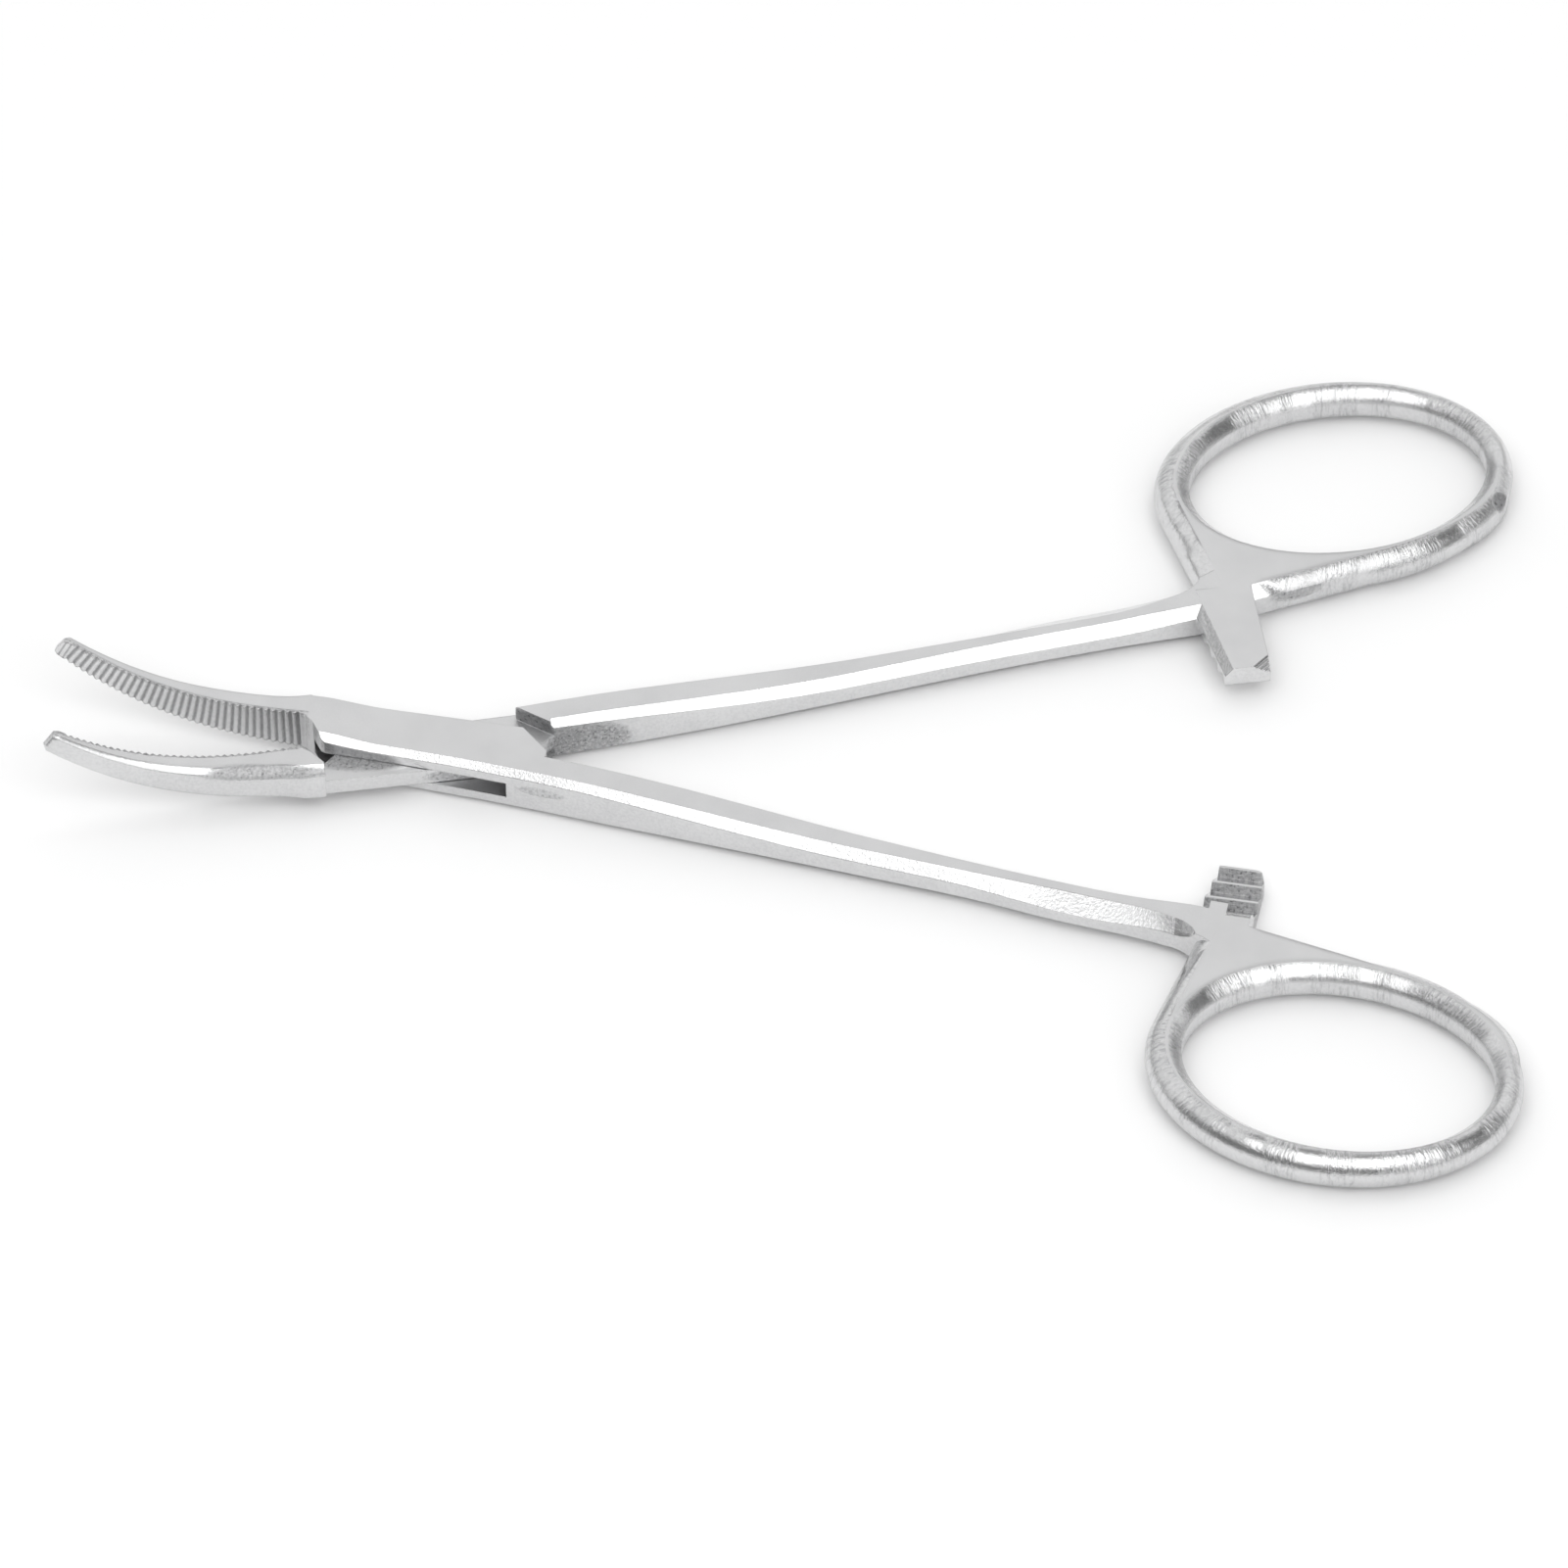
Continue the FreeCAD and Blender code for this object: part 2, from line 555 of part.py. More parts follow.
def tongue_half():
    """Half with the tongue and the upper ratchet bar."""
    wall = mirrored(rear_line(SHOULDER_GAP))
    body = arm(wall[2][0], CROTCH_X + SHOULDER_GAP, [wall[1]])
    rear_x = FRONT_END[0] - SHOULDER_GAP
    root = prism([(rear_x, -JAW_GAP / 2)] + jaw_side_outline(rear_x, LOCK_FRONT)
                 + [(LOCK_FRONT, -JAW_GAP / 2)], -1, LOCK_T + 2).common(side_slab())
    head = jaw_side_bevels(root, rear_x + 1).fuse(jaw())
    head = head.cut(prism([(-2, 1)] + [(LOCK_FRONT - SHOULDER_GAP, 1)] + mirrored(
        [(x, -y if i == 0 else y) for i, (x, y) in enumerate(front_line(SHOULDER_GAP))]) + [(-2, -4)],
        -1, LOCK_T + 1))
    g = TONGUE_WALL_GAP
    plate = prism([(LOCK_FRONT + 0.5, -TONGUE_NEAR_W), (LOCK_FRONT + 0.5, -1.25), (-9.75, -0.95),
                   (-SLOT_END_X + 1.6 * g, SIDE_W - 0.25), (0, SIDE_W - 0.15),
                   (CHEEK_REAR_X + 0.4, 3.0), (CROTCH_X + 0.6, 2.0), (CROTCH_X + 0.6, 0.3),
                   (CROTCH_X - 1.4 * g, -CROTCH_Y), (SLOT_END_X + 0.15, -TONGUE_NEAR_W)],
                  MID - TONGUE_T / 2, MID + TONGUE_T / 2)
    body = finish(body.fuse(plate).fuse(head).fuse(ring()).fuse(bar(MALE_END_Y, True)))
    return body.cut(Part.makeCylinder(PIN_R + PIN_PLAY, LOCK_T + 2, V(0, 0, -1)))


def turned(shape, degrees):
    """Copy of the shape turned about the hinge."""
    out = shape.copy()
    out.rotate(V(0, 0, 0), UP, degrees)
    return out


def write(name, shape):
    """Check one node and write it as a STEP file."""
    shape = shape.removeSplitter()
    if len(shape.Solids) != 1 or not shape.isValid():
        raise RuntimeError("%s: %d solids, valid %s" % (name, len(shape.Solids), shape.isValid()))
    shape = shape.Solids[0]
    shape.exportStep(os.path.join("parts", name + ".step"))
    print(name, "volume %.1f" % shape.Volume, "faces", len(shape.Faces), shape.BoundBox)


os.makedirs("parts", exist_ok=True)
write("box_half", turned(box_half().removeSplitter().mirror(V(0, 0, 0), V(0, 1, 0)), -HALF_OPEN))
write("tongue_half", turned(tongue_half(), HALF_OPEN))
write("hinge_pin", Part.makeCylinder(PIN_R, LOCK_T))
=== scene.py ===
"""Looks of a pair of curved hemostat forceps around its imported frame.

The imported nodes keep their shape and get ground, polished and forged steel finishes.
All lengths are in metres in the row frame: the hinge axis is Z, +X runs to the rings,
and the instrument lies on z = 0.
"""

import json
import logging
import math
from dataclasses import dataclass, field
from enum import Enum
from typing import Any, Optional, Union

import bpy
import numpy as np
from mathutils import Matrix, Vector

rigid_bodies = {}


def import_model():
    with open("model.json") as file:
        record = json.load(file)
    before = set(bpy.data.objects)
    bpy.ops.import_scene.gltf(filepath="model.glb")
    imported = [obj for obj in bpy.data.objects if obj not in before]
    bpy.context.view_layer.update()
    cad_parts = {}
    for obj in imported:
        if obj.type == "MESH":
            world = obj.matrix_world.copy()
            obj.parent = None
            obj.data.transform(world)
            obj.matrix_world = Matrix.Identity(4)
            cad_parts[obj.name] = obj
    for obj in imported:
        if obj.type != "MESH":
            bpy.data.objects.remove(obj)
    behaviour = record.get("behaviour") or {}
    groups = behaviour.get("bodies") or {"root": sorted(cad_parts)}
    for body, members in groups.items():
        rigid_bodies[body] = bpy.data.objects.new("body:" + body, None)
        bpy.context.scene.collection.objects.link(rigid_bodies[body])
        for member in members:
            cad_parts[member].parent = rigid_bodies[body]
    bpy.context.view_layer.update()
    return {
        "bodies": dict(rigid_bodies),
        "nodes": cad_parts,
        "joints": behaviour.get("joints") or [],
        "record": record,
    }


log = logging.getLogger("forceps")

MM = 0.001
IMAGE_SIDE = 1601          # pixels of the square picture
MIX_FIRST, MIX_SECOND, MIX_RESULT = 6, 7, 2     # a Mix node's colour sockets

Number = Union[int, float]
Pair = tuple[float, float]
Triple = tuple[float, float, float]


class Side(Enum):
    """Half of the instrument, by the side of the closed line that its ring is on."""

    TONGUE = 1
    BOX = -1


# Shader building


class Wire:
    """A socket of a material that Python sums can use."""

    def __init__(self, shader: "Shader", socket: Optional[bpy.types.NodeSocket]) -> None:
        """Keeps the shader that the socket belongs to and the socket itself."""
        self.shader = shader
        self.socket = socket

    def math(self, operation: str, *others: Union["Wire", Number]) -> "Wire":
        """Adds a Math node with this socket as its first value.

        Args:
            operation: the Math node's operation.
            others: the node's other values or links.

        Returns:
            The node's result.
        """
        values = dict(enumerate((self, *others)))
        return self.shader.node("ShaderNodeMath", {"operation": operation}, values)

    def __add__(self, other: Union["Wire", Number]) -> "Wire":
        """Sum."""
        return self.math("ADD", other)

    __radd__ = __add__

    def __mul__(self, other: Union["Wire", Number]) -> "Wire":
        """Product."""
        return self.math("MULTIPLY", other)

    __rmul__ = __mul__

    def __sub__(self, other: Union["Wire", Number]) -> "Wire":
        """Difference."""
        return self.math("SUBTRACT", other)

    def __rsub__(self, other: Number) -> "Wire":
        """Difference from a plain number."""
        return self.shader.node("ShaderNodeMath", {"operation": "SUBTRACT"}, {0: other, 1: self})

    def __truediv__(self, other: Union["Wire", Number]) -> "Wire":
        """Quotient."""
        return self.math("DIVIDE", other)

    def __pow__(self, other: Number) -> "Wire":
        """Power."""
        return self.math("POWER", other)

    def __abs__(self) -> "Wire":
        """Size without sign."""
        return self.math("ABSOLUTE")

    def between(self, low: Number, high: Number) -> "Wire":
        """Smooth mask that goes from 0 at low to 1 at high, and stays there.

        Args:
            low: value at which the mask is 0.
            high: value at which the mask is 1; it may be below low.

        Returns:
            The mask.
        """
        mask = self.shader.node("ShaderNodeMapRange", {"interpolation_type": "SMOOTHSTEP"}, {
            "Value": self, "From Min": min(low, high), "From Max": max(low, high),
            "To Min": 0.0, "To Max": 1.0})
        return 1 - mask if high < low else mask

    def limited(self) -> "Wire":
        """The value held between 0 and 1."""
        return self.math("MAXIMUM", 0.0).math("MINIMUM", 1.0)

    def towards(self, goal: Number, share: "Wire") -> "Wire":
        """The value moved to a goal by a share from 0 to 1."""
        return self + share * (goal - self)


class Shader:
    """Builder of one node tree."""

    def __init__(self, tree: bpy.types.NodeTree) -> None:
        """Takes a tree and empties it."""
        self.tree = tree
        tree.nodes.clear()

    def node(self, kind: str, settings: dict[str, Any], inputs: dict[Union[str, int], Any],
             out: Union[str, int] = 0) -> Wire:
        """Adds one node.

        Args:
            kind: the node's type.
            settings: its properties, set before its sockets.
            inputs: values or wires by socket name or number.
            out: name or number of the output to hand back.

        Returns:
            The wire of that output.
        """
        made = self.tree.nodes.new(kind)
        for key, value in settings.items():
            setattr(made, key, value)
        for key, value in inputs.items():
            if isinstance(value, Wire):
                self.tree.links.new(value.socket, made.inputs[key])
            else:
                made.inputs[key].default_value = value
        return Wire(self, made.outputs[out] if len(made.outputs) else None)

    def place(self) -> Wire:
        """Object coordinates."""
        return self.node("ShaderNodeTexCoord", {}, {}, "Object")

    def facing(self) -> tuple[Wire, Wire, Wire]:
        """The three parts of the surface's own normal in object space."""
        return self.parts(self.node("ShaderNodeTexCoord", {}, {}, "Normal"))

    def parts(self, vector: Wire) -> tuple[Wire, Wire, Wire]:
        """X, Y and Z of a vector."""
        first = self.node("ShaderNodeSeparateXYZ", {}, {"Vector": vector})
        return tuple(Wire(self, socket) for socket in first.socket.node.outputs)

    def joined(self, x: Union[Wire, Number], y: Union[Wire, Number], z: Union[Wire, Number]) -> Wire:
        """Vector from three numbers."""
        return self.node("ShaderNodeCombineXYZ", {}, {0: x, 1: y, 2: z})

    def noise(self, place: Wire, size: float, detail: float, rough: float,
              stretch: Triple = (1.0, 1.0, 1.0)) -> Wire:
        """Even noise from 0 to 1 whose patches are about size across.

        Args:
            place: coordinates in metres.
            size: patch size in metres.
            detail: octaves.
            rough: share of the finer octaves.
            stretch: how much longer the patches are along each axis.

        Returns:
            The noise.
        """
        scaled = self.node("ShaderNodeMapping", {}, {
            "Vector": place, "Scale": tuple(1.0 / (size * s) for s in stretch)})
        return self.node("ShaderNodeTexNoise", {}, {
            "Vector": scaled, "Scale": 1.0, "Detail": detail, "Roughness": rough})

    def mix(self, share: Wire, first: Union[Wire, Triple], second: Union[Wire, Triple]) -> Wire:
        """Colour between two colours.

        Args:
            share: 0 gives the first colour and 1 the second.
            first: a colour or a wire.
            second: a colour or a wire.

        Returns:
            The mixed colour.
        """
        ends = [end if isinstance(end, Wire) else (*end, 1.0) for end in (first, second)]
        return self.node("ShaderNodeMix", {"data_type": "RGBA"}, {
            "Factor": share, MIX_FIRST: ends[0], MIX_SECOND: ends[1]}, MIX_RESULT)


# Finishes


@dataclass
class Surface:
    """What a finish reads at each point, and the layers that it changes."""

    place: Wire
    z: Wire
    upright: Wire               # size of the normal's Z part
    closed: tuple[Wire, Wire]   # plan place along and across the half's closed line
    flat: Wire                  # share of the satin faces
    ripple: Wire                # uneven skin of the polished faces
    tone: Wire                  # 0 is light steel, 1 is shaded steel
    rough: Wire
    height: Wire                # fine relief
    radius: Wire                # rounding of the edges
    waves: list[Wire] = field(default_factory=list)     # long, low relief
    pits_and_painted_shade: list[Wire] = field(default_factory=list)      # shares of dark pits and of painted shade in grooves and deep places


@dataclass(frozen=True)
class RoughSpot:
    """A place where the forging skin or casting pits were left, an ellipsoid in millimetres."""

    centre: Triple
    reach: Triple
    depth: float = 1.0
    painted_shade: float = 0.0           # painted shade: an even dark share, for deep places
    steep: bool = False         # whether only steep faces have it
    rim: Pair = (1.25, 0.45)    # squared distance, in reaches, over which it fades in
    steepness: Pair = (0.75, 0.5)
    pit: float = 0.30 * MM
    relief: float = 7.0
    dull: float = 0.42          # added roughness

    def mask(self, shader: Shader, surface: Surface) -> Wire:
        """Share of the spot at a place: 1 inside the ellipsoid, fading at its rim."""
        away = sum(((axis - c * MM) / (r * MM)) ** 2
                   for axis, c, r in zip(shader.parts(surface.place), self.centre, self.reach))
        share = away.between(*self.rim) * self.depth
        return share * surface.upright.between(*self.steepness) if self.steep else share

    def add(self, shader: Shader, surface: Surface) -> None:
        """Darkens, dulls and pits the surface inside the spot, and paints an even shade into its deep
        places.

        Args:
            shader: builder of the material.
            surface: layers to change.
        """
        share = self.mask(shader, surface)
        pits = shader.noise(surface.place, self.pit, detail=5.0, rough=0.72)
        surface.tone += share * (surface.ripple.between(0.35, 0.65) * 0.9 + 0.1)
        surface.rough += share * self.dull
        surface.height += share * pits * self.relief
        # dark pits, plus an even painted shade for deep places
        surface.pits_and_painted_shade.append(share * (pits.between(0.46, 0.36) * 0.85 + self.painted_shade))


@dataclass(frozen=True)
class RingGrind:
    """Hand grinding across the rim of one finger ring."""

    centre: Pair
    inner: Pair = (7.0 * MM, 8.0 * MM)      # distances over which the ring begins
    outer: Pair = (16.0 * MM, 14.8 * MM)    # distances over which it ends
    rim: float = 12.0 * MM      # mean radius, turns an angle into a length
    soft: float = 0.97 * MM     # added rounding of the ring's edges
    mark: float = 0.22 * MM     # width of one mark
    slant: Triple = (1.0, 5.0, 5.0)         # length of a mark, in widths
    relief: float = 3.4         # height of the marks
    shade: float = 0.7          # darkness of the marks
    zone: float = 5.0 * MM      # length of a stretch with marks
    facet: float = 4.6 * MM     # length of one ground facet

    def around(self, shader: Shader, place: Wire) -> tuple[Wire, Wire]:
        """Place along the rim in metres, and the distance from the ring's centre."""
        x, y, _ = shader.parts(place)
        dx, dy = x - self.centre[0], y - self.centre[1]
        return dy.math("ARCTAN2", dx) * self.rim, (dx * dx + dy * dy) ** 0.5

    def add(self, shader: Shader, surface: Surface) -> None:
        """Rounds the ring and gives it facets, and stretches with marks across the rim.

        Args:
            shader: builder of the material.
            surface: layers to change.
        """
        along, distance = self.around(shader, surface.place)
        ring = distance.between(*self.inner) * distance.between(*self.outer)
        ground = ring * (1 - surface.flat)
        line = shader.joined(along, 0.0, 0.0)
        marks = shader.noise(shader.joined(along, distance, surface.z), self.mark, 3.0, 0.6, self.slant)
        marked = ground * shader.noise(line, self.zone, detail=1.0, rough=0.5).between(0.43, 0.53)
        surface.waves.append(ground * shader.noise(line, self.facet, detail=1.0, rough=0.4))
        surface.height += marked * marks * self.relief
        surface.tone += marked * marks.between(0.45, 0.68) * self.shade
        surface.rough += ground * 0.04 + marked * 0.05
        surface.radius += ring * self.soft


@dataclass(frozen=True)
class JawTeeth:
    """Painted shade in the grooves of a serrated jaw and along its shallow last cuts, and its burred edge.
    """

    side: Side
    start: Pair = (-10.5 * MM, -11.0 * MM)      # distance along the jaw over which they begin
    groove: Pair = (0.05 * MM, 0.22 * MM)       # depth over which a groove's painted shade grows
    band: Pair = (0.35 * MM, 0.30 * MM)         # depth at which the teeth end
    last: tuple[float, ...] = (-30.55 * MM, -31.04 * MM)
    width: Pair = (0.12 * MM, 0.06 * MM)        # half widths of a last cut, outside and inside
    tip_z: float = 8.0 * MM                     # height at which the last cuts' places are given
    tip_lean: float = 0.53                      # their slope, as the jaw's end rises
    dull: float = 0.25                          # added roughness
    burr: float = 9.0                           # height of the burrs

    def masks(self, surface: Surface) -> tuple[Wire, Wire]:
        """Share of the painted shade in the grooves and last cuts, and of the strip beside them on the
        flat.
        """
        x, y = surface.closed
        depth = y * float(-self.side.value)
        near = x.between(*self.start) * depth.between(*self.band)
        contact = near * (1 - surface.flat)
        groove_shade = contact * depth.between(*self.groove)
        leaning = x - (surface.z - self.tip_z) * self.tip_lean
        for cut in self.last:
            groove_shade += contact * abs(leaning - cut).between(*self.width) * 0.8
        return groove_shade, near * surface.flat

    def add(self, _: Shader, surface: Surface) -> None:
        """Paints shade into the grooves and roughens the strip beside them.

        Args:
            _: builder of the material, which this finish doesn't need.
            surface: layers to change.
        """
        groove_shade, lip = self.masks(surface)
        # painted shade in the grooves and last cuts, unevenly strong
        surface.pits_and_painted_shade.append(groove_shade * (0.35 + surface.ripple * 0.5))
        surface.tone += lip * (surface.ripple.between(0.42, 0.62) * 1.6 - 0.6)
        surface.rough += groove_shade * self.dull
        surface.height += lip * surface.ripple * self.burr


@dataclass(frozen=True)
class ForgedSteel:
    """Stainless steel with satin flats, polished bevels and a few rough spots."""

    name: str
    tint: Triple = (0.715, 0.716, 0.72)
    shade: Triple = (0.49, 0.492, 0.50)
    # colour of dark pits, and of the painted shade in grooves and deep places
    dark: Triple = (0.13, 0.13, 0.135)
    satin: float = 0.33         # roughness of the flats
    polish: float = 0.13        # roughness of all other faces
    grain: float = 0.06 * MM    # size of the flats' grain
    ripple: float = 0.26 * MM   # size of the uneven places on polished faces
    cloud: float = 5.0 * MM     # size of the broad changes of tone
    base_tone: float = 0.16
    cloud_tone: float = 0.55    # how much each of the three changes the tone
    grain_tone: float = 0.7
    ripple_tone: float = 1.3
    cloud_rough: float = 0.1
    grain_height: float = 0.5   # height of the grain beside that of the ripple
    level: Pair = (0.93, 0.985)     # upward part of a flat face's normal
    jaw_across: Pair = (0.24, 0.12)     # sideways part of the normal on the jaw's satin faces
    jaw_up: Pair = (0.4, 0.6)   # its upward part
    relief: float = 0.03 * MM   # height of the fine relief
    wave: float = 0.45 * MM     # height of the ground facets
    edge: float = 0.13 * MM     # rounding of all edges
    jaw_soft: float = 0.29 * MM                 # added rounding of the jaws' edges
    jaw_end: Pair = (-10.0 * MM, -13.0 * MM)    # distance over which that begins
    jaw_satin: Pair = (-9.0 * MM, -12.0 * MM)   # distance over which the jaw's satin faces begin
    flush: Pair = (1.9 * MM, 1.6 * MM)          # edge of the pin's end, which can't be seen
    turn: float = 0.0           # angle of the half's closed line
    spots: tuple[RoughSpot, ...] = ()
    grinds: tuple[RingGrind, ...] = ()
    teeth: tuple[JawTeeth, ...] = ()

    def turned(self, x: Wire, y: Wire) -> tuple[Wire, Wire]:
        """The same plan values seen along the closed line of the half."""
        c, s = math.cos(self.turn), math.sin(self.turn)
        return x * c + y * s, y * c - x * s

    def ground(self, shader: Shader) -> Surface:
        """The surface as it comes from grinding and polishing.

        Args:
            shader: builder of the material.

        Returns:
            Its layers.
        """
        place = shader.place()
        x, y, z = shader.parts(place)
        nx, ny, nz = shader.facing()
        closed = self.turned(x, y)
        across = self.turned(nx, ny)[1]
        jaw = abs(across).between(*self.jaw_across) * nz.between(*self.jaw_up)
        flat = abs(nz).between(*self.level).math("MAXIMUM", closed[0].between(*self.jaw_satin) * jaw)
        bare = 1 - flat
        grain = shader.noise(place, self.grain, detail=2.0, rough=0.5)
        ripple = shader.noise(place, self.ripple, detail=4.0, rough=0.65)
        cloud = shader.noise(place, self.cloud, detail=3.0, rough=0.55) - 0.5
        return Surface(
            place=place, z=z, upright=abs(nz), closed=closed, flat=flat, ripple=ripple,
            tone=(cloud * self.cloud_tone + (grain - 0.5) * flat * self.grain_tone
                  + (ripple - 0.5) * bare * self.ripple_tone + self.base_tone),
            rough=flat * (self.satin - self.polish) + self.polish + cloud * self.cloud_rough,
            height=grain * flat * self.grain_height + ripple * bare,
            radius=closed[0].between(*self.jaw_end) * self.jaw_soft + self.edge)

    def normal(self, shader: Shader, surface: Surface) -> Wire:
        """The surface's direction with its rounded edges, facets and fine relief.

        Args:
            shader: builder of the material.
            surface: the finished layers.

        Returns:
            The bent normal.
        """
        x, y, _ = shader.parts(surface.place)
        pin_end = ((x * x + y * y) ** 0.5).between(*self.flush)
        bent = shader.node("ShaderNodeBevel", {"samples": 8}, {"Radius": surface.radius * (1 - pin_end)})
        if surface.waves:
            bent = shader.node("ShaderNodeBump", {}, {
                "Height": sum(surface.waves), "Strength": 1.0, "Distance": self.wave, "Normal": bent})
        return shader.node("ShaderNodeBump", {}, {
            "Height": surface.height, "Strength": 0.8, "Distance": self.relief, "Normal": bent})

    def material(self) -> bpy.types.Material:
        """Builds the material.

        Faces that look straight up or down, and the upper and lower faces of the jaws,
        are satin with a fine grain. Everything else is polished, with a stippled skin,
        and with facets and marks across the rim on the rings. Rough spots are darker,
        duller and pitted, and deep ones get painted shade. Grooves of the jaw get painted shade.

        Returns:
            The new material.
        """
        material = bpy.data.materials.new(self.name)
        material.use_nodes = True
        shader = Shader(material.node_tree)
        surface = self.ground(shader)
        for extra in (*self.grinds, *self.spots, *self.teeth):
            extra.add(shader, surface)
        steel = shader.mix(surface.tone.limited(), self.tint, self.shade)
        # painted shade: grooves and deep places, with the dark pits, are mixed towards the dark colour
        if surface.pits_and_painted_shade:
            steel = shader.mix(sum(surface.pits_and_painted_shade).limited(), steel, self.dark)
        finish = shader.node("ShaderNodeBsdfPrincipled", {}, {
            "Base Color": steel,
            "Metallic": 1.0,
            "Roughness": surface.rough.limited(),
            "Normal": self.normal(shader, surface),
        })
        shader.node("ShaderNodeOutputMaterial", {}, {"Surface": finish})
        return material


@dataclass(frozen=True)
class PaleFloor:
    """Plain pale floor that catches only a soft shadow."""

    name: str = "pale_floor"
    tint: Triple = (0.97, 0.97, 0.97)

    def material(self) -> bpy.types.Material:
        """Builds the floor's material."""
        material = bpy.data.materials.new(self.name)
        material.use_nodes = True
        shader = Shader(material.node_tree)
        finish = shader.node("ShaderNodeBsdfPrincipled", {}, {
            "Base Color": (*self.tint, 1.0), "Roughness": 0.9, "Specular IOR Level": 0.0})
        shader.node("ShaderNodeOutputMaterial", {}, {"Surface": finish})
        return material


# The object


# Spots in deep places carry an even painted shade besides their skin.
SLOT_SKIN = RoughSpot((2.7, -2.1, 2.1), (4.2, 1.2, 0.75), depth=0.7, painted_shade=0.02)

TONGUE_SPOTS = (
    SLOT_SKIN,
    # Tongue beside the jaw, and bevel of the jaw.
    RoughSpot((-6.2, -1.3, 2.8), (4.2, 1.5, 0.6), depth=0.8),
    RoughSpot((-13.6, -4.6, 4.2), (6.6, 0.9, 0.6), depth=0.6, painted_shade=0.2),
    # Side and end wall of the shoulder.
    RoughSpot((12.0, 2.3, 1.5), (5.0, 1.6, 2.0)),
    RoughSpot((7.7, 2.9, 3.3), (2.0, 2.8, 1.0), depth=0.6, painted_shade=0.9, steep=True),
    # Ring beside the ratchet bar, and a chip on its far end.
    RoughSpot((68.3, 21.1, 2.5), (3.4, 1.5, 1.1), depth=0.8, painted_shade=0.15, steep=True),
    RoughSpot((85.7, 31.4, 2.7), (1.3, 1.0, 0.8), depth=0.9, painted_shade=0.5),
)

BOX_SPOTS = (
    SLOT_SKIN,
    # Pits behind the slot.
    RoughSpot((8.6, -4.8, 2.6), (2.4, 1.2, 0.45), depth=0.5),
    # Steep faces of the ratchet teeth, and end of the shank's bevel.
    RoughSpot((64.4, -14.4, 1.2), (3.4, 4.2, 1.6), depth=0.7, painted_shade=0.42, steep=True),
    RoughSpot((60.5, -18.9, 3.2), (2.4, 1.6, 1.2), depth=0.7, steep=True),
)


@dataclass
class Half:
    """One forged half: jaw, lock, shank, ratchet bar and finger ring in one piece."""

    node: str
    side: Side
    spots: tuple[RoughSpot, ...]
    ring_x: float = 72.7 * MM
    ring_y: float = 34.4 * MM
    half_open: float = math.radians(9.9)

    def ring_centre(self) -> Pair:
        """Centre of the finger hole in plan."""
        return self.ring_x, self.side.value * self.ring_y

    def dress(self, frame: dict[str, Any]) -> None:
        """Gives the half its finish.
        """
        finish = ForgedSteel("steel_" + self.node, turn=self.side.value * self.half_open, spots=self.spots,
                             grinds=(RingGrind(self.ring_centre()),), teeth=(JawTeeth(self.side),))
        put_finish(frame["nodes"][self.node], finish.material())
        log.info("%s dressed with %d rough spots", self.node, len(self.spots))


@dataclass
class Pin:
    """The hinge pin, ground flush with both cheeks."""

    node: str = "hinge_pin"
    edge: float = 0.02 * MM

    def dress(self, frame: dict[str, Any]) -> None:
        """Gives the pin the satin of the flats round it.
        """
        put_finish(frame["nodes"][self.node], ForgedSteel("steel_pin", edge=self.edge).material())
        log.info("%s dressed", self.node)


def put_finish(thing: bpy.types.Object, material: bpy.types.Material) -> None:
    """Replaces all of an object's materials by one."""
    thing.data.materials.clear()
    thing.data.materials.append(material)


# Studio


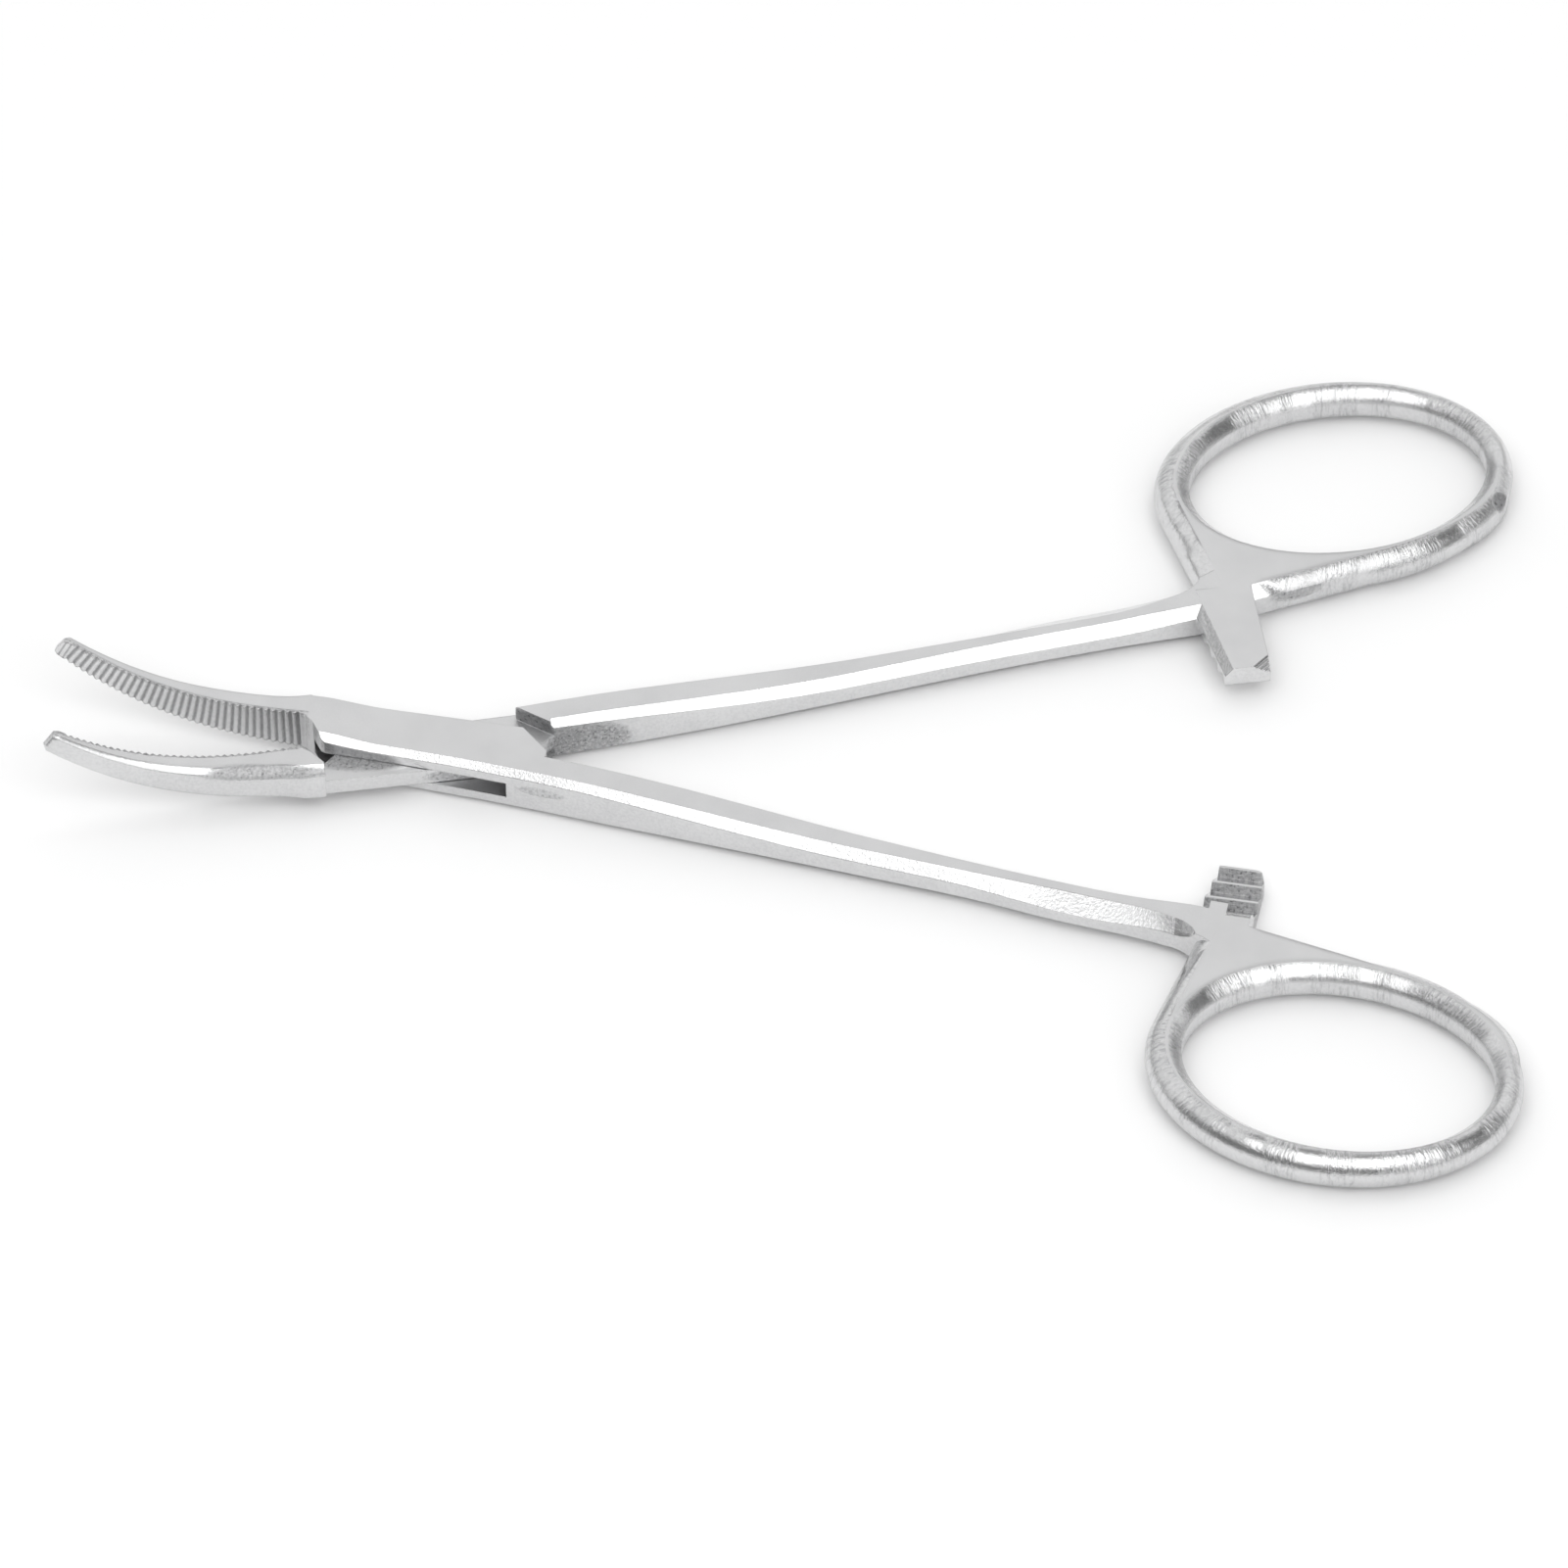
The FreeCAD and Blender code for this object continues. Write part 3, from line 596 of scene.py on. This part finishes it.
@dataclass
class Studio:
    """Floor, sky and two soft lamps.

    The sky is bright in front of the instrument and calmer behind it. A dark patch
    overhead that goes on down to the right, and a dark line at the horizon, draw the
    edges of the steel. Low in front on the right the sky is as bright as the lamp.
    Pairs of numbers are parts of a direction of length 1, between which a change takes place.
    """

    reach: float = 1.6
    floor_z: float = -0.00002
    front: float = 0.85
    back: float = 0.95
    overhead: float = 0.2
    horizon: float = 0.22
    front_y: Pair = (0.25, -0.30)           # from the back to the front
    front_dusk: Pair = (0.66, 0.50)         # height of the dark line in front
    back_dusk: Pair = (0.20, 0.07)          # its height behind
    dip_x: Pair = (0.30, 0.46)              # where the dark line in front dips
    dip: float = 0.22                       # by how much
    zenith: Pair = (0.935, 0.97)            # edge of the dark patch overhead
    right_x: Pair = (0.25, 0.45)            # start of its arm to the right
    right_y: Pair = (0.30, 0.20)            # half width of the arm
    right_z: Pair = (0.22, 0.34)            # end of the arm
    glow_x: float = 0.56                    # middle of the bright place
    glow_half: Pair = (0.26, 0.19)          # its half width
    glow_y: Pair = (-0.35, -0.45)
    glow_z: Pair = (0.12, 0.20)
    lamp: float = 1.55                      # brightness of the front lamp's face
    lamp_size: Pair = (1.15, 0.72)
    lamp_place: Triple = (0.05, -0.72, 0.96)
    fill: float = 0.17                      # share of the floor's light from overhead
    fill_side: float = 1.2
    fill_height: float = 1.5

    def build(self) -> None:
        """Adds the floor, the sky and the lamps."""
        self._floor()
        self._sky()
        self._lamps()

    def _floor(self) -> None:
        """Flat floor just under the instrument.

        The surface is a grid over (s, t) in -1 to 1: x = reach s, y = reach t, z = floor_z.
        """
        steps = np.linspace(-1, 1, 9)
        s, t = np.meshgrid(steps, steps)
        points = np.stack([self.reach * s, self.reach * t, np.full_like(s, self.floor_z)], -1)
        floor = grid_object("floor", points)
        put_finish(floor, PaleFloor().material())
        log.info("floor laid")

    def _sky(self) -> None:
        """Sky whose brightness depends on the direction."""
        world = bpy.data.worlds.new("studio_sky")
        bpy.context.scene.world = world
        world.use_nodes = True
        shader = Shader(world.node_tree)
        x, y, z = shader.parts(shader.node("ShaderNodeTexCoord", {}, {}, "Generated"))
        front = y.between(*self.front_y)
        dusk = front * (z + x.between(*self.dip_x) * self.dip).between(*self.front_dusk)
        dusk = dusk + (1 - front) * z.between(*self.back_dusk)
        arm = x.between(*self.right_x) * abs(y).between(*self.right_y) * z.between(*self.right_z)
        dark = z.between(*self.zenith).math("MAXIMUM", arm)
        bright = abs(x - self.glow_x).between(*self.glow_half)
        bright = bright * y.between(*self.glow_y) * z.between(*self.glow_z)
        glow = front * (self.front - self.back) + self.back
        for goal, share in ((self.horizon, dusk), (self.overhead, dark), (self.lamp, bright)):
            glow = glow.towards(goal, share)
        back = shader.node("ShaderNodeBackground", {}, {"Color": (1.0, 1.0, 1.0, 1.0), "Strength": glow})
        shader.node("ShaderNodeOutputWorld", {}, {"Surface": back})
        log.info("sky made")

    def _lamps(self) -> None:
        """Large soft lamp in front, and a fill from overhead that only lights the floor.

        The fill's face is as bright as it takes to light the floor below it by its share.
        """
        self._hang("soft_lamp", self.lamp_size, self.lamp_place, self.lamp)
        glow = self.fill * math.pi * (self.fill_height / self.fill_side) ** 2
        fill = self._hang("fill_lamp", (self.fill_side, self.fill_side), (0.0, 0.0, self.fill_height), glow)
        fill.visible_glossy = False

    @staticmethod
    def _hang(name: str, size: Pair, where: Triple, glow: float) -> bpy.types.Object:
        """Adds an area lamp that faces the middle of the instrument.

        Args:
            name: name of the lamp.
            size: width and height of its face.
            where: its place.
            glow: brightness of its face.

        Returns:
            The lamp's object.
        """
        lamp = bpy.data.lights.new(name, "AREA")
        lamp.shape = "RECTANGLE"
        lamp.size, lamp.size_y = size
        lamp.energy = glow * math.pi * size[0] * size[1]
        holder = bpy.data.objects.new(name, lamp)
        bpy.context.scene.collection.objects.link(holder)
        turn = Vector(where).to_track_quat("Z", "Y").to_matrix().to_4x4()
        holder.matrix_world = Matrix.Translation(Vector(where)) @ turn
        log.info("%s hung", name)
        return holder


def grid_object(name: str, points: np.ndarray) -> bpy.types.Object:
    """Mesh object from a grid of points.

    Args:
        name: name of the object.
        points: array of shape (rows, columns, 3).

    Returns:
        The new object, linked to the scene.
    """
    rows, columns, _ = points.shape
    index = np.arange(rows * columns).reshape(rows, columns)
    corners = [index[:-1, :-1], index[:-1, 1:], index[1:, 1:], index[1:, :-1]]
    faces = np.stack(corners, -1).reshape(-1, 4)
    mesh = bpy.data.meshes.new(name)
    mesh.from_pydata(points.reshape(-1, 3).tolist(), [], faces.tolist())
    mesh.update()
    made = bpy.data.objects.new(name, mesh)
    bpy.context.scene.collection.objects.link(made)
    return made


@dataclass(frozen=True)
class PhotoView:
    """The camera of the picture, solved from the rings, the hinge and the jaws."""

    azimuth: float = math.radians(2.815)
    elevation: float = math.radians(43.5)
    roll: float = math.radians(-1.168)
    distance: float = 0.9
    pixels_per_mm: float = 12.65
    pivot_pixel: Pair = (445.95, 771.17)
    pivot: Triple = (0.0, 0.0, 2.1 * MM)
    sensor: float = 36.0
    clip: Pair = (0.05, 10.0)

    def build(self) -> bpy.types.Object:
        """Adds the camera and makes it the scene's.

        Returns:
            The camera object.
        """
        a, e = self.azimuth, self.elevation
        back = Vector((math.sin(a) * math.cos(e), -math.cos(a) * math.cos(e), math.sin(e)))
        level = Vector((math.cos(a), math.sin(a), 0.0))
        upright = back.cross(level)
        right = math.cos(self.roll) * level + math.sin(self.roll) * upright
        up = -math.sin(self.roll) * level + math.cos(self.roll) * upright
        middle = IMAGE_SIDE / 2
        step = MM / self.pixels_per_mm
        aside = (self.pivot_pixel[0] - middle) * step
        above = -(self.pivot_pixel[1] - middle) * step
        where = Vector(self.pivot) + self.distance * back - aside * right - above * up
        data = bpy.data.cameras.new("photo_view")
        data.sensor_width = self.sensor
        data.sensor_fit = "HORIZONTAL"
        data.lens = self.pixels_per_mm * self.distance / MM * self.sensor / IMAGE_SIDE
        data.clip_start, data.clip_end = self.clip
        camera = bpy.data.objects.new("photo_view", data)
        bpy.context.scene.collection.objects.link(camera)
        turn = Matrix((right, up, back)).transposed()
        camera.matrix_world = Matrix.Translation(where) @ turn.to_4x4()
        bpy.context.scene.camera = camera
        log.info("camera set")
        return camera


def main() -> None:
    """Loads the frame, dresses each piece and sets the studio."""
    logging.basicConfig(level=logging.INFO, format="%(name)s: %(message)s")
    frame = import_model()
    Half("tongue_half", Side.TONGUE, TONGUE_SPOTS).dress(frame)
    Half("box_half", Side.BOX, BOX_SPOTS).dress(frame)
    Pin().dress(frame)
    Studio().build()
    PhotoView().build()
    bpy.context.scene.view_settings.view_transform = "Standard"


if __name__ == "__main__":
    main()
